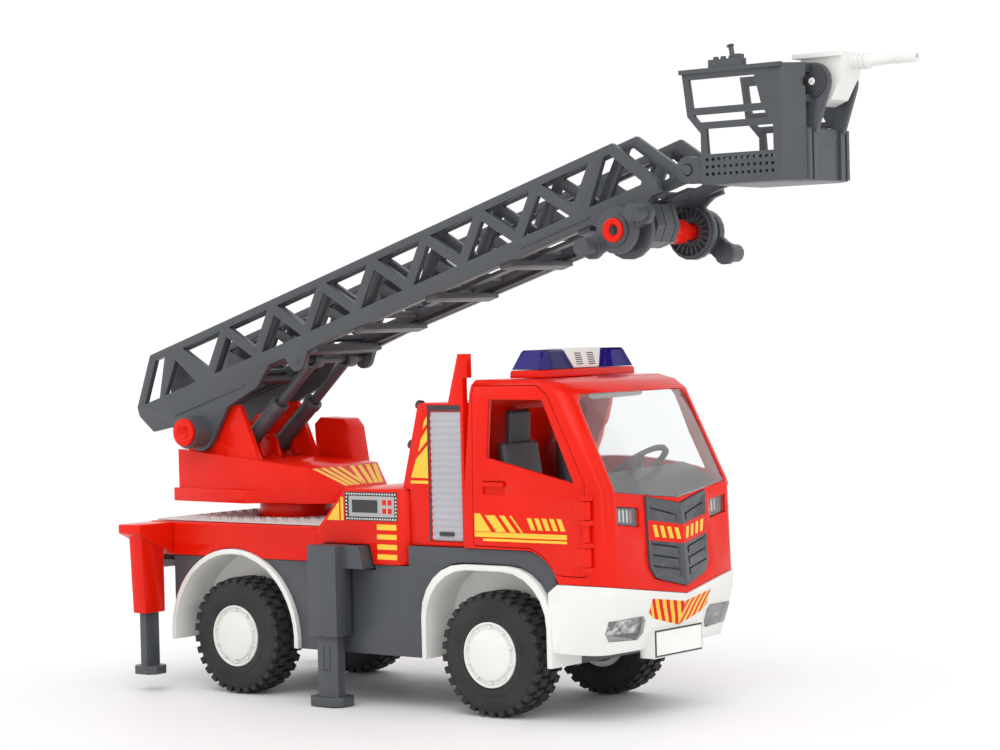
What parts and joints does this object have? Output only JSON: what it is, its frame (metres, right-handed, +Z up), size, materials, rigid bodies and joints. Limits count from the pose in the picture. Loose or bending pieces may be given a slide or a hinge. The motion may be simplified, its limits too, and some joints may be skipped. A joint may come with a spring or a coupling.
{
  "type": "toy fire engine",
  "caption": "Toy fire engine with a turning, rising and extending ladder, a rescue basket, opening cab doors and telescopic outriggers.",
  "frame": {"origin": "centre of the bounding box on the ground, at the bottom of the tyres", "axes": "+X forward, towards the cab and the basket; +Y to the vehicle's left; +Z up"},
  "size_m": [0.4705, 0.156, 0.3116],
  "materials": {
    "red_plastic": "smooth bright red moulding, slight sheen",
    "grey_plastic": "dark grey moulding, satin",
    "white_plastic": "white moulding, satin",
    "tyre_rubber": "soft black tread, matt",
    "clear_plastic": "clear polished plastic",
    "blue_lens": "transparent dark blue lens",
    "shutter_grey": "light grey ribbed moulding",
    "tread_grey": "pale grey printed tread pattern",
    "steel": "plain drawn wire"
  },
  "bodies": {
    "vehicle": {"beacon_lens_left": "blue_lens", "beacon_lens_right": "blue_lens", "bed_tread_plate": "tread_grey", "cab_shell": "red_plastic", "chassis_frame": "grey_plastic", "dashboard": "grey_plastic", "front_bumper": "white_plastic", "grille": "grey_plastic", "headlight_left": "clear_plastic", "headlight_right": "clear_plastic", "indicator_lens_left": "clear_plastic", "indicator_lens_right": "clear_plastic", "light_bar_base": "red_plastic", "light_bar_centre": "white_plastic", "locker_tower": "red_plastic", "rear_body": "red_plastic", "rear_fender_left": "white_plastic", "rear_fender_right": "white_plastic", "rear_outrigger_arm_left": "red_plastic", "rear_outrigger_arm_right": "red_plastic", "roller_shutter_left": "shutter_grey", "roller_shutter_right": "shutter_grey", "seats": "grey_plastic", "turntable_pedestal": "red_plastic", "windscreen": "clear_plastic"},
    "rear_wheels": {"rear_axle": "steel", "rear_rim_left": "white_plastic", "rear_rim_right": "white_plastic", "rear_tyre_left": "tyre_rubber", "rear_tyre_right": "tyre_rubber"},
    "front_wheels": {"front_axle": "steel", "front_rim_left": "white_plastic", "front_rim_right": "white_plastic", "front_tyre_left": "tyre_rubber", "front_tyre_right": "tyre_rubber"},
    "hose_reel": {"hose_reel": "grey_plastic"},
    "door_right": {"cab_door_right": "red_plastic"},
    "door_left": {"cab_door_left": "red_plastic"},
    "steering": {"steering_wheel": "grey_plastic"},
    "middle_beam_right": {"middle_outrigger_beam_right": "grey_plastic"},
    "middle_beam_left": {"middle_outrigger_beam_left": "grey_plastic"},
    "middle_foot_right": {"middle_outrigger_foot_right": "grey_plastic"},
    "middle_foot_left": {"middle_outrigger_foot_left": "grey_plastic"},
    "rear_foot_right": {"rear_outrigger_foot_right": "grey_plastic"},
    "rear_foot_left": {"rear_outrigger_foot_left": "grey_plastic"},
    "turret": {"turntable": "red_plastic", "operator_cabin": "red_plastic"},
    "outer_section": {"outer_ladder": "grey_plastic", "ladder_pivot_shaft": "red_plastic"},
    "inner_section": {"inner_ladder": "grey_plastic"},
    "winch": {"winch_shaft": "red_plastic", "crank_handle_left": "grey_plastic", "crank_handle_right": "grey_plastic"},
    "ram_barrels": {"ram_barrel_left": "grey_plastic", "ram_barrel_right": "grey_plastic"},
    "ram_rods": {"ram_rod_left": "grey_plastic", "ram_rod_right": "grey_plastic"},
    "basket": {"rescue_basket": "grey_plastic"},
    "cannon": {"water_cannon": "white_plastic"}
  },
  "joints": [
    {"name": "rear_wheels_roll", "type": "hinge", "parent": "vehicle", "child": "rear_wheels", "pos_m": [-0.13978, 0, 0.03], "axis": [0, 1, 0], "continuous": true},
    {"name": "front_wheels_roll", "type": "hinge", "parent": "vehicle", "child": "front_wheels", "pos_m": [0.02823, 0, 0.03], "axis": [0, 1, 0], "continuous": true},
    {"name": "hose_reel_turn", "type": "hinge", "parent": "vehicle", "child": "hose_reel", "pos_m": [-0.21177, 0, 0.066], "axis": [0, 1, 0], "continuous": true},
    {"name": "door_right_open", "type": "hinge", "parent": "vehicle", "child": "door_right", "pos_m": [0.08943, -0.0564, 0.09], "axis": [0, 0, 1], "range_deg": [0, 70]},
    {"name": "door_left_open", "type": "hinge", "parent": "vehicle", "child": "door_left", "pos_m": [0.08943, 0.0564, 0.09], "axis": [0, 0, -1], "range_deg": [0, 70]},
    {"name": "steering_turn", "type": "hinge", "parent": "vehicle", "child": "steering", "pos_m": [0.06373, 0.024, 0.1165], "axis": [0.636, 0, -0.7717], "range_deg": [-120, 120]},
    {"name": "middle_beam_right_extend", "type": "slide", "parent": "vehicle", "child": "middle_beam_right", "axis": [0, -1, 0], "range_m": [0, 0.02]},
    {"name": "middle_foot_right_lift", "type": "slide", "parent": "middle_beam_right", "child": "middle_foot_right", "axis": [0, 0, 1], "range_m": [0, 0.02]},
    {"name": "rear_foot_right_lift", "type": "slide", "parent": "vehicle", "child": "rear_foot_right", "axis": [0, 0, 1], "range_m": [-0.008, 0.02]},
    {"name": "middle_beam_left_extend", "type": "slide", "parent": "vehicle", "child": "middle_beam_left", "axis": [0, 1, 0], "range_m": [0, 0.02]},
    {"name": "middle_foot_left_lift", "type": "slide", "parent": "middle_beam_left", "child": "middle_foot_left", "axis": [0, 0, 1], "range_m": [0, 0.02]},
    {"name": "rear_foot_left_lift", "type": "slide", "parent": "vehicle", "child": "rear_foot_left", "axis": [0, 0, 1], "range_m": [-0.008, 0.02]},
    {"name": "turntable_slew", "type": "hinge", "parent": "vehicle", "child": "turret", "pos_m": [-0.14377, 0, 0.097], "axis": [0, 0, 1], "continuous": true},
    {"name": "ladder_raise", "type": "hinge", "parent": "turret", "child": "outer_section", "pos_m": [-0.18777, 0, 0.134], "axis": [0, -1, 0], "range_deg": [-5, 30]},
    {"name": "ram_swing", "type": "hinge", "parent": "turret", "child": "ram_barrels", "pos_m": [-0.16778, 0, 0.1255], "axis": [0, -1, 0], "range_deg": [-5.5, 32]},
    {"name": "ram_stroke", "type": "slide", "parent": "ram_barrels", "child": "ram_rods", "axis": [0.7467, 0, 0.6652], "range_m": [-0.002, 0.0112]},
    {"name": "ladder_extend", "type": "slide", "parent": "outer_section", "child": "inner_section", "axis": [0.9563, 0, 0.2924], "range_m": [0, 0.15]},
    {"name": "winch_turn", "type": "hinge", "parent": "outer_section", "child": "winch", "pos_m": [0.09612, 0, 0.22947], "axis": [0, -1, 0], "continuous": true},
    {"name": "basket_level", "type": "hinge", "parent": "inner_section", "child": "basket", "pos_m": [0.12709, 0, 0.25609], "axis": [0, -1, 0], "range_deg": [-30, 10]},
    {"name": "cannon_aim", "type": "hinge", "parent": "basket", "child": "cannon", "pos_m": [0.18923, 0, 0.2925], "axis": [0, -1, 0], "range_deg": [-20, 30]}
  ],
  "couplings": [
    {"joint": "ram_swing", "follows": "ladder_raise", "ratio": 1.06},
    {"joint": "ram_stroke", "follows": "ladder_raise", "m_per_rad": 0.020856},
    {"joint": "winch_turn", "follows": "ladder_extend", "rad_per_m": 166.67}
  ]
}
